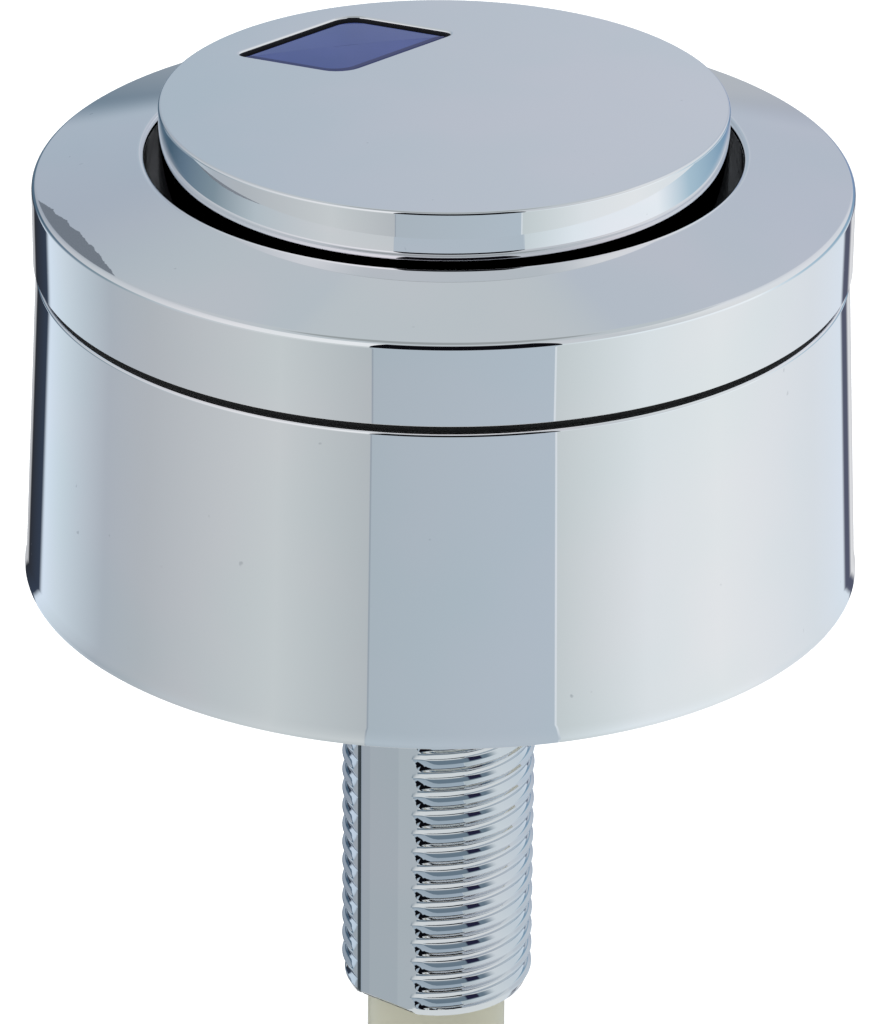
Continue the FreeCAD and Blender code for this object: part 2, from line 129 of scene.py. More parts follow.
# Worn crescent on the bezel: its turn and sizes, and where it fades at its ends, outside, below
WEAR_TURN = math.radians(205)
WEAR_SPREAD = math.radians(14)
WEAR_W = 1.2 * MM
WEAR_RAGGED = 0.7 * MM
WEAR_SOFT = 0.03 * MM
WEAR_END_FADE = (1.1, 0.8)
WEAR_OUTER_FADE = (0.14 * MM, 0.06 * MM)
WEAR_LOWER_FADE = (0.0, 0.1 * MM)

# Button
BUTTON_R = CAP_HIGH.x
BUTTON_Z = CAP_HIGH.z
BUTTON_ROUND = 0.26 * MM
CAP_T = 1.5 * MM
CAP_WALL = 1.6 * MM
CAP_BOSS_R = 2.6 * MM
CAP_SCREW_RING_R = 16.8 * MM
CAP_SCREW_LENGTH = 7.5 * MM
PILOT_R = 1.45 * MM

# Faces of the key's window lie this far inside the cap's wall, and lean less than this
WINDOW_INSIDE = 0.2 * MM
UPRIGHT = 0.3

# Blue key
KEY_TURN = math.radians(123)
KEY_AT_R = 15.2 * MM
KEY_LONG = 19.2 * MM
KEY_SHORT = 13.3 * MM
KEY_LONG_TURN = math.radians(16.5)
KEY_SHORT_TURN = math.radians(89.2)
KEY_TIP_R = 0.7 * MM
KEY_SIDE_R = 2.4 * MM
KEY_GAP = 0.25 * MM
KEY_ROUND = 0.4 * MM
KEY_DOME = 0.12 * MM
KEY_LEDGE = 1.2 * MM
WINDOW_ROUND = 0.24 * MM
# Painted shade on the key: width and sharpness of its dark band along the front edges, and its
# fade down the sides
KEY_RIM_W = 0.85 * MM
KEY_RIM_SHARP = 0.8
KEY_SIDE_FADE = 0.035 * MM

# The bezel's snap windows and the two rings of screws stand at the same three turns
SCREW_TURN = KEY_TURN + math.radians(60)
THREE_TURNS = [SCREW_TURN + math.radians(120) * i for i in range(3)]

# Threaded stem
STEM_R = 8.28 * MM
STEM_BORE_R = 6.3 * MM
STEM_CHAMFER = 0.45 * MM
STEM_CHAMFER_H = 0.9 * MM
FLAT_END_CHAMFER = 0.6 * MM
COLLAR_R = 8.6 * MM
COLLAR_LENGTH = 9.0 * MM
ROOT_R = 8.9 * MM
FLANGE_R = STEM_HIGH.x
FLANGE_T = 2.2 * MM
HUB_R = 9.0 * MM
HUB_TOP_Z = STEM_HIGH.z
BUSH_R = 7.3 * MM
BUSH_LENGTH = 7.0 * MM
BARREL_SCREW_RING_R = 24.65 * MM
SCREW_TIP_COVER = 1.0 * MM
FLAT_FROM_AXIS = 7.75 * MM
FLAT_HALF_W = 1.45 * MM
FLAT_TURN = math.radians(233.6)
LAND_TURN = math.radians(6)
LAND_FROM_AXIS = FLAT_FROM_AXIS * math.cos(LAND_TURN) + FLAT_HALF_W * math.sin(LAND_TURN)
SEAM_ASIDE = 2.72 * MM
SEAM_W = 0.4 * MM
SEAM_DEPTH = 0.09 * MM
FLAT_TURNS = (FLAT_TURN, FLAT_TURN + math.pi)
THREAD_PITCH = 1.8 * MM
THREAD_DEPTH = 0.32 * MM
VALLEY_W = 0.9 * MM
VALLEY_ROUND = 0.08 * MM
VALLEY_SAG = 0.03 * MM
RIDGE_W = 0.125 * MM
RIDGE_ROUND = 0.06 * MM
UPPER_FLANK = 0.13 * MM
THREAD_RUNOUT = math.radians(9)
RUNOUT_CURVE = 0.7
THREAD_SKEW = math.radians(14)
SKEW_MIDDLE = 0.7
STEM_END_Z = STEM_LOW.z

# Painted shade on the stem, dark in the seams beside its flats and at the flats' feet: how far out
# it starts, and its fades across the seam and at the foot
STEM_SHADE_OUT_FADE = (FLAT_FROM_AXIS - 1.2 * MM, FLAT_FROM_AXIS - MM)
STEM_SHADE_SEAM_FADE = (SEAM_W * 0.6, SEAM_W * 0.4)
STEM_SHADE_FOOT_FADE = (0.4 * MM, 0.3 * MM)
STEM_SHADE_SIDE_FADE = (FLAT_HALF_W * 2.1, FLAT_HALF_W * 1.9)

# Springs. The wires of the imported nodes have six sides, one of them straight outwards.
NODE_WIRE_REACH = math.cos(math.radians(30))
RETURN_WIRE_R = 0.7 * MM
RETURN_TURNS = 6.25
KEY_WIRE_R = 0.4 * MM
KEY_TURNS = 3.25

# Camera, from the photograph's 879 x 1024 frame
PHOTO_W, PHOTO_H = 879, 1024
CAMERA_DISTANCE = 470 * MM
CAMERA_ELEVATION = 0.4617
CAMERA_ROLL = 0.0092
FOCAL_PX = 5565.6
AXIS_PX = (440.34, 551.73)
SENSOR = 36.0
CLIP_START = 0.01

# Tones and roughness of the plating: its two tones, its dust specks and its haze
CHROME_COOL = (0.90, 0.915, 0.93)
CHROME_WARM = (0.935, 0.92, 0.94)
SPECK_TONE = (0.35, 0.36, 0.40)
SPECK_STRENGTH = 0.35
SPECK_ROUGHNESS = 0.15
CHROME_ROUGHNESS = 0.008
HAZE_ROUGHNESS = 0.012
MARK_ROUGHNESS = 0.5

# Grain of plastic and rubber
GRAIN_FINER = 12
GRAIN_DEPTH = 0.02 * MM
GRAIN_STRENGTH = 0.08
MOTTLE_ROUGHNESS = 0.1
STEEL_MOTTLE_ROUGHNESS = 0.15
STEEL_DARKER = 0.8

# Floor and light
FLOOR_Z = cad_box[0].z
FLOOR_SIZE = 12.0
LIGHT_Z = 1.0
LIGHT_SIZE = 1.6
LIGHT_WATTS = 16.0


class Value:
    """A number in a shader that varies over the surface, so that sums are written as sums."""

    def __init__(self, finish, socket):
        self.finish = finish
        self.socket = socket

    def math(self, operation, *others, swap=False):
        """The result of an operation on the value and others, in reverse order if swapped."""
        sockets = [self, *others]
        if swap:
            sockets.reverse()
        settings = {"operation": operation}
        return self.finish.value("ShaderNodeMath", settings, dict(enumerate(sockets)))

    def __add__(self, other):
        return self.math("ADD", other)

    def __radd__(self, other):
        return self.math("ADD", other, swap=True)

    def __sub__(self, other):
        return self.math("SUBTRACT", other)

    def __rsub__(self, other):
        return self.math("SUBTRACT", other, swap=True)

    def __mul__(self, other):
        return self.math("MULTIPLY", other)

    def __rmul__(self, other):
        return self.math("MULTIPLY", other, swap=True)

    def __truediv__(self, other):
        return self.math("DIVIDE", other)

    def __pow__(self, other):
        return self.math("POWER", other)

    def ramp_between(self, low, high):
        """0 where the value is low, 1 where it is high, and smooth between."""
        settings = {"interpolation_type": "SMOOTHSTEP"}
        sockets = {"Value": self, "From Min": low, "From Max": high}
        return self.finish.value("ShaderNodeMapRange", settings, sockets)


class Finish:
    """A node tree under construction, of a material or of the world."""

    def __init__(self, tree):
        self.tree = tree
        tree.nodes.clear()

    def node(self, kind, settings=None, sockets=None):
        """A new node: its settings are made first, then its sockets are set or linked."""
        made = self.tree.nodes.new(kind)
        for name, setting in (settings or {}).items():
            if name == "stops":
                self.set_stops(made.color_ramp, setting)
            else:
                setattr(made, name, setting)
        for name, given in (sockets or {}).items():
            self.feed(made, name, given)
        return made

    def feed(self, node, name, given):
        """Sets a node's socket to a number or colour, or links what is given to it."""
        if isinstance(given, Value):
            given = given.socket
        if isinstance(given, bpy.types.NodeSocket):
            self.tree.links.new(given, node.inputs[name])
        else:
            node.inputs[name].default_value = given

    def set_stops(self, ramp, stops):
        """Gives a colour ramp its stops, as places and colours."""
        while len(ramp.elements) > 1:
            ramp.elements.remove(ramp.elements[-1])
        for i, (place, colour) in enumerate(stops):
            stop = ramp.elements[0] if i == 0 else ramp.elements.new(place)
            stop.position = place
            stop.color = (*colour, 1)

    def value(self, kind, settings=None, sockets=None):
        """The first output of a new node, as a value."""
        return Value(self, self.node(kind, settings, sockets).outputs[0])

    def split(self, vector):
        """The three parts of a vector."""
        parts = self.node("ShaderNodeSeparateXYZ", {}, {0: vector})
        return [Value(self, socket) for socket in parts.outputs]

    def blend(self, share, first, second):
        """Colour from first to second as share goes from 0 to 1."""
        settings = {"data_type": "RGBA"}
        made = self.node("ShaderNodeMix", settings, {0: share, 6: first, 7: second})
        return made.outputs[2]


def material(name):
    """A new material with a principled shader, as its finish, shader and object coordinates."""
    made = bpy.data.materials.new(name)
    made.use_nodes = True
    finish = Finish(made.node_tree)
    shader = finish.node("ShaderNodeBsdfPrincipled")
    finish.node("ShaderNodeOutputMaterial", {}, {"Surface": shader.outputs[0]})
    coordinates = finish.node("ShaderNodeTexCoord").outputs["Object"]
    return made, finish, shader, coordinates


def noise(finish, coordinates, scale, detail):
    """Soft noise from 0 to 1, with scale in waves per metre."""
    sockets = {"Vector": coordinates, "Scale": scale, "Detail": detail}
    return finish.value("ShaderNodeTexNoise", {}, sockets)


def rgb(red, green, blue):
    """An opaque colour."""
    return (red, green, blue, 1.0)


def bezel_wear(finish, coordinates):
    """Share of dulled plating: a ragged crescent along the left of the bezel's top face."""
    x, y, z = finish.split(coordinates)
    radius = (x * x + y * y) ** 0.5
    along = (x * math.cos(WEAR_TURN) + y * math.sin(WEAR_TURN)) / radius
    off_middle = along.math("ARCCOSINE") / WEAR_SPREAD
    ragged = (noise(finish, coordinates, scale=900.0, detail=3.0) - 0.5) * WEAR_RAGGED
    ragged = ragged * off_middle.ramp_between(*WEAR_END_FADE)
    width = WEAR_W * (1 - off_middle * off_middle) + ragged
    edge_r = BEZEL_R - BEZEL_ROUND
    inside = (radius + width - edge_r).ramp_between(-WEAR_SOFT, WEAR_SOFT)
    inside = inside * (radius - edge_r).ramp_between(*WEAR_OUTER_FADE)
    return inside * (z - BEZEL_TOP_Z + BEZEL_ROUND).ramp_between(*WEAR_LOWER_FADE)


def stem_painted_shade(finish, coordinates):
    """Share of painted shade, dark in the seams beside the stem's flats and at the flats' feet."""
    x, y, z = finish.split(coordinates)
    out = x * math.cos(FLAT_TURN) + y * math.sin(FLAT_TURN)
    across = y * math.cos(FLAT_TURN) - x * math.sin(FLAT_TURN)
    side = (out.math("SIGN") * across + SEAM_ASIDE).math("ABSOLUTE")
    on_flat = out.math("ABSOLUTE").ramp_between(*STEM_SHADE_OUT_FADE)
    seam = side.ramp_between(*STEM_SHADE_SEAM_FADE) * on_flat
    foot = (z - STEM_END_Z).ramp_between(*STEM_SHADE_FOOT_FADE) * on_flat
    foot = foot * across.math("ABSOLUTE").ramp_between(*STEM_SHADE_SIDE_FADE)
    return seam.math("MAXIMUM", foot)


def make_chrome(name="chrome_plate", tint=(1.0, 1.0, 1.0), marks=None, mark=None):
    """Bright plating on plastic, with a faint unevenness, dust specks and any marks given, such as
    wear and painted shade.
    """
    made, finish, shader, coordinates = material(name)
    clouds = noise(finish, coordinates, scale=60.0, detail=2.0).ramp_between(0.35, 0.65)
    cool, warm = (
        rgb(*(part * share for part, share in zip(tone, tint)))
        for tone in (CHROME_COOL, CHROME_WARM))
    plate = finish.blend(clouds, cool, warm)
    specks = noise(finish, coordinates, scale=900.0, detail=1.0).ramp_between(0.79, 0.83)
    plate = finish.blend(specks * SPECK_STRENGTH, plate, rgb(*SPECK_TONE))
    haze = noise(finish, coordinates, scale=25.0, detail=3.0)
    roughness = CHROME_ROUGHNESS + haze * HAZE_ROUGHNESS + specks * SPECK_ROUGHNESS
    if marks:
        share = marks(finish, coordinates)
        plate = finish.blend(share, plate, mark)
        roughness = roughness + share * MARK_ROUGHNESS
    finish.feed(shader, "Metallic", 1.0)
    finish.feed(shader, "Base Color", plate)
    finish.feed(shader, "Roughness", roughness)
    return made


def make_plastic(name, colour, other, roughness, scale=180.0, marks=None, mark=None):
    """Moulded plastic or rubber with a slight mottle, a fine grain and any marks given, such as
    painted shade.
    """
    made, finish, shader, coordinates = material(name)
    mottle = noise(finish, coordinates, scale, detail=3.0)
    tone = finish.blend(mottle.ramp_between(0.3, 0.7), rgb(*colour), rgb(*other))
    if marks:
        tone = finish.blend(marks(finish, coordinates), tone, mark)
    grain = noise(finish, coordinates, scale * GRAIN_FINER, detail=2.0)
    sockets = {"Strength": GRAIN_STRENGTH, "Distance": GRAIN_DEPTH, "Height": grain}
    bump = finish.node("ShaderNodeBump", {}, sockets)
    even = roughness - MOTTLE_ROUGHNESS / 2
    finish.feed(shader, "Base Color", tone)
    finish.feed(shader, "Roughness", even + mottle * MOTTLE_ROUGHNESS)
    finish.feed(shader, "Normal", bump.outputs[0])
    return made


def make_steel(name, colour, roughness):
    """Plated or drawn steel."""
    made, finish, shader, coordinates = material(name)
    mottle = noise(finish, coordinates, scale=400.0, detail=3.0)
    dark = tuple(STEEL_DARKER * part for part in colour)
    finish.feed(shader, "Metallic", 1.0)
    finish.feed(shader, "Base Color", finish.blend(mottle, rgb(*colour), rgb(*dark)))
    finish.feed(shader, "Roughness", roughness + mottle * STEEL_MOTTLE_ROUGHNESS)
    return made


def direction(turn):
    """Level direction at a turn about Z."""
    return Vector((math.cos(turn), math.sin(turn), 0))


def lozenge_corners(grow):
    """Corners of the key window's outline in plan, moved out by grow, with half their angles.

    They go round from the right to the back, the left and the front.
    """
    middle = direction(KEY_TURN).xy * KEY_AT_R
    right = middle + direction(KEY_LONG_TURN).xy * KEY_LONG / 2
    back = middle + direction(KEY_SHORT_TURN).xy * KEY_SHORT / 2
    corners = [right, back, 2 * middle - right, 2 * middle - back]
    moved = []
    for i, corner in enumerate(corners):
        before = (corners[i - 1] - corner).normalized()
        after = (corners[(i + 1) % 4] - corner).normalized()
        half = before.angle(after) / 2
        moved.append((corner - (before + after).normalized() * grow / math.sin(half), half))
    return moved


def key_painted_shade(finish, coordinates):
    """Share of painted shade, a darker blue: down the key's sides and along its two front edges.
    """
    x, y, z = finish.split(coordinates)
    side = (z - KEY_HIGH.z).ramp_between(-KEY_DOME, -KEY_SIDE_FADE - KEY_DOME)
    right, _, left, front = (corner for corner, half in lozenge_corners(-KEY_GAP))
    round_r = KEY_SIDE_R - KEY_GAP
    past = []
    for start, end in ((left, front), (front, right)):
        inward = Vector((start.y - end.y, end.x - start.x)).normalized()
        depth = x * inward.x + y * inward.y - start.dot(inward)
        past.append((round_r - depth).math("MAXIMUM", 0.0))
    rim = round_r - (past[0] * past[0] + past[1] * past[1]).math("SQRT")
    return side.math("MAXIMUM", rim.ramp_between(KEY_RIM_W, KEY_RIM_W * KEY_RIM_SHARP))


FINISHES = {
    "chrome": make_chrome(),
    # The stem's plating is a darker, cooler copy of the chrome, as painted shade for the stem
    # under the drum
    "shaded_stem_chrome": make_chrome(
        # Painted shade: dark in the seams beside the stem's flats and at the flats' feet
        "shaded_stem_plate", (0.77, 0.805, 0.84), stem_painted_shade, rgb(0.10, 0.12, 0.135)),
    "bezel_chrome": make_chrome(
        "bezel_plate", marks=bezel_wear, mark=rgb(0.37, 0.39, 0.43)),
    "black_rubber": make_plastic(
        "black_rubber", (0.006, 0.006, 0.006), (0.009, 0.009, 0.009), 0.75),
    # Pale rubber for the base gasket in place of its black: painted light under the drum, which
    # the stem mirrors
    "painted_light_rubber": make_plastic(
        "painted_light_rubber", (0.52, 0.50, 0.42), (0.47, 0.45, 0.38), 0.6),
    "white_plastic": make_plastic(
        "white_acetal", (0.72, 0.72, 0.70), (0.66, 0.66, 0.65), 0.4),
    "black_plastic": make_plastic(
        "black_moulding", (0.014, 0.014, 0.015), (0.022, 0.022, 0.024), 0.45),
    "offwhite_plastic": make_plastic(
        "offwhite_tube", (0.585, 0.565, 0.435), (0.56, 0.54, 0.415), 0.38, 90.0),
    # The key's darker blue down its sides and along its front edges is painted shade
    "blue_plastic": make_plastic(
        "blue_key", (0.026, 0.041, 0.150), (0.030, 0.045, 0.165), 0.12,
        marks=key_painted_shade, mark=rgb(0.006, 0.009, 0.065)),
    "zinc_steel": make_steel("zinc_plated_steel", (0.62, 0.64, 0.66), 0.3),
    "spring_steel": make_steel("spring_wire", (0.45, 0.45, 0.46), 0.3),
}


def dress_nodes():
    """Gives every CAD node the finish of its material slot, and the gasket a paler one, as painted
    light that the stem mirrors.
    """
    for name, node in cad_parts.items():
        slot = node.data.materials[0].name.split(".")[0]
        look = "painted_light_rubber" if name == "base_gasket" else slot
        node.data.materials[0] = FINISHES[look]


def everything(bm):
    """All that a mesh is made of, as the operators take it."""
    return bm.verts[:] + bm.edges[:] + bm.faces[:]


def only(kind, found):
    """What is of one kind, such as bmesh.types.BMVert, in an operator's result."""
    return [g for g in found if isinstance(g, kind)]


def merge(bm, reach=NEAR):
    """Joins the corners that lie within reach of each other."""
    bmesh.ops.remove_doubles(bm, verts=bm.verts[:], dist=reach)


def round_off(bm, geom, offset, affect="EDGES", steps=ROUND_STEPS):
    """Rounds edges or corners, starting offset away from them."""
    bmesh.ops.bevel(
        bm, geom=geom, offset=offset, offset_type="OFFSET", segments=steps, profile=0.5,
        affect=affect, material=-1)


def add_section(bm, points, closed=True):
    """Wire section in the XZ plane from points of radius, height and optional rounding."""
    corners = [bm.verts.new((point[0], 0, point[1])) for point in points]
    for i in range(0 if closed else 1, len(corners)):
        bm.edges.new((corners[i - 1], corners[i]))
    for corner, point in zip(corners, points):
        if len(point) > 2:
            round_off(bm, [corner], point[2], "VERTICES")


def spin_all(bm, steps=STEPS, turns=1, climb=0.0, joined=True):
    """Sweeps the mesh about Z, climbing at each step, and gives what stands at the end."""
    return bmesh.ops.spin(
        bm, geom=bm.verts[:] + bm.edges[:], cent=(0, 0, 0), axis=(0, 0, 1), dvec=(0, 0, climb),
        angle=2 * math.pi * turns, space=Matrix.Identity(4), steps=steps, use_merge=joined,
        use_normal_flip=False, use_duplicate=False)["geom_last"]


def add_rods(bm, radius, low, high, at_r):
    """Closed upright cylinders between two heights, at the turns of the three screws."""
    for turn in THREE_TURNS:
        middle = (math.cos(turn) * at_r, math.sin(turn) * at_r, (low + high) / 2)
        bmesh.ops.create_cone(
            bm, cap_ends=True, segments=ROD_SIDES, radius1=radius, radius2=radius,
            depth=high - low, matrix=Matrix.Translation(middle))


def make_object(bm, name):
    """Puts what was built into the scene as an object."""
    mesh = bpy.data.meshes.new(name)
    bm.to_mesh(mesh)
    bm.free()
    made = bpy.data.objects.new(name, mesh)
    bpy.context.scene.collection.objects.link(made)
    return made


def combine(bm, tool, operation):
    """A new mesh, with the tool's closed shapes joined to the first one or cut out of it."""
    for shape in (bm, tool):
        bmesh.ops.recalc_face_normals(shape, faces=shape.faces[:])
    objects = [make_object(shape, "shape") for shape in (bm, tool)]
    boolean = objects[0].modifiers.new("combine", "BOOLEAN")
    boolean.operation = operation
    boolean.solver = "EXACT"
    boolean.object = objects[1]
    bpy.context.view_layer.update()
    result = bmesh.new()
    result.from_object(objects[0], bpy.context.evaluated_depsgraph_get())
    for used in objects:
        mesh = used.data
        bpy.data.objects.remove(used)
        bpy.data.meshes.remove(mesh)
    return result


def finish_mesh(bm, name, slot, body, *replaced, sharp=30.0, look=None):
    """Merges and turns outwards what was built, and makes it a piece that rides on its body.

    Edges that turn by more than sharp, in degrees, stay sharp. A piece without a body stays
    where it was built.
    """
    merge(bm)
    bmesh.ops.recalc_face_normals(bm, faces=bm.faces[:])
    if bm.calc_volume(signed=True) < 0:
        bmesh.ops.reverse_faces(bm, faces=bm.faces[:])
    for face in bm.faces:
        face.smooth = True
    for edge in bm.edges:
        edge.smooth = edge.calc_face_angle(0) < math.radians(sharp)
    piece = make_object(bm, name)
    piece.data.materials.append(FINISHES[look or slot])
    weigh = piece.modifiers.new("even_normals", "WEIGHTED_NORMAL")
    weigh.keep_sharp = True
    if body:
        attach(piece, body)
    if replaced:
        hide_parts(*replaced)
    return piece


def build_housing():
    """Tapered drum with a small flared lip, its gasket's groove and its screws' holes."""
    side_r = BASE_R - LIP_OUT
    inner_r = HOUSING_TOP_R - HOUSING_WALL
    bm = bmesh.new()
    add_section(bm, [
        (ROOT_HOLE_R, 0),
        (GASKET_IN_R, 0),
        (GASKET_IN_R, GASKET_T),
        (GASKET_OUT_R, GASKET_T),
        (GASKET_OUT_R, 0),
        (BASE_R, 0, LIP_ROUND),
        (side_r, LIP_H, LIP_BEND),
        (HOUSING_TOP_R, HOUSING_H, HOUSING_ROUND),
        (inner_r, HOUSING_H),
        (inner_r, FLOOR_T),
        (ROOT_HOLE_R, FLOOR_T),
    ])
    spin_all(bm)
    merge(bm)
    pilots = bmesh.new()
    add_rods(pilots, PILOT_R, SCREW_TIP_COVER, FLOOR_T + PAST, BARREL_SCREW_RING_R)
    bm = combine(bm, pilots, "DIFFERENCE")
    finish_mesh(bm, "chrome_drum", "chrome", "base", "housing")


def build_bezel():
    """Chrome ring with rounded edges, its skirt and its spigot with three snap windows."""
    slope = (HOLE_Z - BEZEL_TOP_Z) / (BEZEL_R - HOLE_R)
    drop = BEZEL_WALL * math.hypot(1, slope)
    skirt_r = HOLE_R + SKIRT_WALL
    bm = bmesh.new()
    add_section(bm, [
        (SPIGOT_R, BEZEL_Z),
        (BEZEL_R, BEZEL_Z, LIP_ROUND),
        (BEZEL_R, BEZEL_TOP_Z, BEZEL_ROUND),
        (HOLE_R, HOLE_Z, HOLE_ROUND),
        (HOLE_R, STOP_Z),
        (skirt_r, STOP_Z),
        (skirt_r, HOLE_Z - SKIRT_WALL * slope - drop),
        (SPIGOT_IN_R, BEZEL_TOP_Z + (BEZEL_R - SPIGOT_IN_R) * slope - drop),
        (SPIGOT_IN_R, SPIGOT_Z),
        (SPIGOT_R, SPIGOT_Z),
    ])
    spin_all(bm)
    merge(bm)
    windows = bmesh.new()
    place = Matrix.Translation(((SPIGOT_R + SPIGOT_IN_R) / 2, 0, BEZEL_Z - SNAP_DOWN))
    size = Matrix.Diagonal((SPIGOT_R - SPIGOT_IN_R + 2 * PAST, SNAP_W, SNAP_H, 1))
    for turn in THREE_TURNS:
        turned = Matrix.Rotation(turn, 4, "Z")
        bmesh.ops.create_cube(windows, size=1.0, matrix=turned @ place @ size)
    bm = combine(bm, windows, "DIFFERENCE")
    finish_mesh(bm, "chrome_bezel", "chrome", "base", "bezel_ring", look="bezel_chrome")


def add_lozenge(bm, grow, z):
    """Closed loop of edges round the key window's outline, with rounded corners."""
    before = set(bm.verts)
    corners = lozenge_corners(grow)
    verts = [bm.verts.new((corner.x, corner.y, z)) for corner, half in corners]
    for i in range(4):
        bm.edges.new((verts[i - 1], verts[i]))
    radii = (KEY_TIP_R, KEY_SIDE_R, KEY_TIP_R, KEY_SIDE_R)
    for vert, (corner, half), radius in zip(verts, corners, radii):
        round_off(bm, [vert], (radius + grow) / math.tan(half), "VERTICES")
    return [e for e in bm.edges if e.is_wire and not before.intersection(e.verts)]


def edges_on(bm, test):
    """Edges with both ends at places for which test holds."""
    return [e for e in bm.edges if all(test(v.co) for v in e.verts)]


def build_cap():
    """Round chrome button with a rounded rim, the key's window and three screw bosses."""
    inner_r = BUTTON_R - CAP_WALL
    under_z = BUTTON_Z - CAP_T
    flat_r = BUTTON_R - BUTTON_ROUND
    bm = bmesh.new()
    add_section(bm, [
        (flat_r, BUTTON_Z),
        (BUTTON_R, BUTTON_Z, BUTTON_ROUND * JUST_UNDER),
        (BUTTON_R, STOP_Z),
        (inner_r, STOP_Z),
        (inner_r, under_z),
    ], closed=False)
    spin_all(bm)
    merge(bm, ROUGHLY)
    top_rim, under_rim = (
        [e for e in edges_on(bm, lambda p: abs(p.z - level) < NEAR) if e.is_boundary]
        for level in (BUTTON_Z, under_z))
    window_top = add_lozenge(bm, 0, BUTTON_Z)
    bmesh.ops.triangle_fill(bm, edges=top_rim + window_top, use_beauty=True, normal=(0, 0, 1))
    walls = bmesh.ops.extrude_edge_only(bm, edges=window_top)["geom"]
    low_verts = only(bmesh.types.BMVert, walls)
    bmesh.ops.translate(bm, verts=low_verts, vec=(0, 0, -CAP_T))
    window_low = [e for e in only(bmesh.types.BMEdge, walls) if e.is_boundary]
    bmesh.ops.triangle_fill(bm, edges=under_rim + window_low, use_beauty=True, normal=(0, 0, -1))
    round_off(bm, window_top, WINDOW_ROUND, steps=WINDOW_ROUND_STEPS)
    merge(bm)
    bosses = bmesh.new()
    add_rods(bosses, CAP_BOSS_R, STOP_Z, under_z + PAST, CAP_SCREW_RING_R)
    bm = combine(bm, bosses, "UNION")
    pilots = bmesh.new()
    add_rods(pilots, PILOT_R, STOP_Z - PAST, STOP_Z + CAP_SCREW_LENGTH, CAP_SCREW_RING_R)
    bm = combine(bm, pilots, "DIFFERENCE")
    button = finish_mesh(bm, "chrome_button", "chrome", "button", "button_cap")
    # The window's walls get the black moulding: bare plastic, which also paints the shade in the
    # recess round the key
    button.data.materials.append(FINISHES["black_plastic"])
    for face in button.data.polygons:
        in_window = face.center.xy.length < inner_r - WINDOW_INSIDE and face.center.z > under_z
        if in_window and abs(face.normal.z) < UPRIGHT:
            face.material_index = 1


def raise_faces(bm, faces, rise, closed=False):
    """Pulls faces up by rise, with walls under their rim and a closed underside if wanted."""
    grown = bmesh.ops.extrude_face_region(bm, geom=faces)["geom"]
    if not closed:
        bmesh.ops.delete(bm, geom=faces, context="FACES_ONLY")
    bmesh.ops.translate(bm, verts=only(bmesh.types.BMVert, grown), vec=(0, 0, rise))
    return only(bmesh.types.BMFace, grown)


def build_key():
    """Blue tile with rounded edges and a slight dome, on its ledge."""
    ledge_z = BUTTON_Z - CAP_T
    top_z = KEY_HIGH.z - KEY_DOME
    bm = bmesh.new()
    outline = add_lozenge(bm, KEY_LEDGE, KEY_LOW.z)
    base = bmesh.ops.edgeloop_fill(bm, edges=outline)["faces"]
    top = raise_faces(bm, base, ledge_z - KEY_LOW.z, closed=True)
    bmesh.ops.recalc_face_normals(bm, faces=bm.faces[:])
    bmesh.ops.inset_region(bm, faces=top, thickness=KEY_LEDGE + KEY_GAP, use_even_offset=True)
    top = raise_faces(bm, top, top_z - ledge_z)
    round_off(bm, edges_on(bm, lambda p: p.z > top_z - NEAR), KEY_ROUND)
    lid = [f for f in bm.faces if all(v.co.z > top_z - NEAR for v in f.verts)]
    middle = Matrix.Translation(-direction(KEY_TURN) * KEY_AT_R)
    for i in range(1, DOME_STEPS):
        wide, narrow = 1 - (i - 1) / DOME_STEPS, 1 - i / DOME_STEPS
        lid = raise_faces(bm, lid, KEY_DOME * (wide ** 2 - narrow ** 2))
        verts = list({v for f in lid for v in f.verts})
        shrink = (narrow / wide, narrow / wide, 1)
        bmesh.ops.scale(bm, verts=verts, vec=shrink, space=middle)
    finish_mesh(bm, "blue_key", "blue_plastic", "key", "flush_key", sharp=50.0)


def from_flat(point):
    """Angle between a point's direction in plan and the nearer flat's normal."""
    towards = abs(point.xy.normalized().dot(direction(FLAT_TURN).xy))
    return math.acos(min(1.0, towards))


def up_the_valley(point, start_z):
    """Place of a point between a valley's foot, -0.5, and its head, 0.5, along the helix."""
    turn = math.atan2(point.y, point.x) / (2 * math.pi)
    return ((point.z - start_z) / THREAD_PITCH - turn + 0.5) % 1 - 0.5


def split_along(bm, plane_point, normal, drop_outer=False):
    """Splits the faces along a plane, and drops what stands beyond it if wanted."""
    bmesh.ops.bisect_plane(
        bm, geom=everything(bm), dist=NEAR, plane_co=plane_point, plane_no=normal,
        clear_outer=drop_outer)


def cut_back(bm, plane_point, normal, pull):
    """Moves what stands beyond a plane back onto it along the direction of pull."""
    split_along(bm, plane_point, normal)
    for vert in bm.verts:
        beyond = (vert.co - plane_point).dot(normal)
        if beyond > 0:
            vert.co -= pull * (beyond / pull.dot(normal))


def join_plane(bm, plane_point, normal):
    """Joins the faces that lie in a plane into one."""
    def lies_in(vert):
        return abs((vert.co - plane_point).dot(normal)) < ROUGHLY
    faces = [f for f in bm.faces if all(lies_in(v) for v in f.verts)]
    bmesh.ops.dissolve_faces(bm, faces=faces, use_verts=False)


def cut_seam(bm, flat):
    """Fine groove along the left edge of a flat, where the mould's halves met."""
    across = Vector((-flat.y, flat.x, 0))
    for aside in (SEAM_W / 2, 0, -SEAM_W / 2):
        split_along(bm, -across * (SEAM_ASIDE + aside), across)
    for vert in bm.verts:
        off_line = abs(vert.co.dot(across) + SEAM_ASIDE) / (SEAM_W / 2)
        if vert.co.dot(flat) > 0 and off_line < 1:
            vert.co -= flat * (SEAM_DEPTH * (1 - off_line))


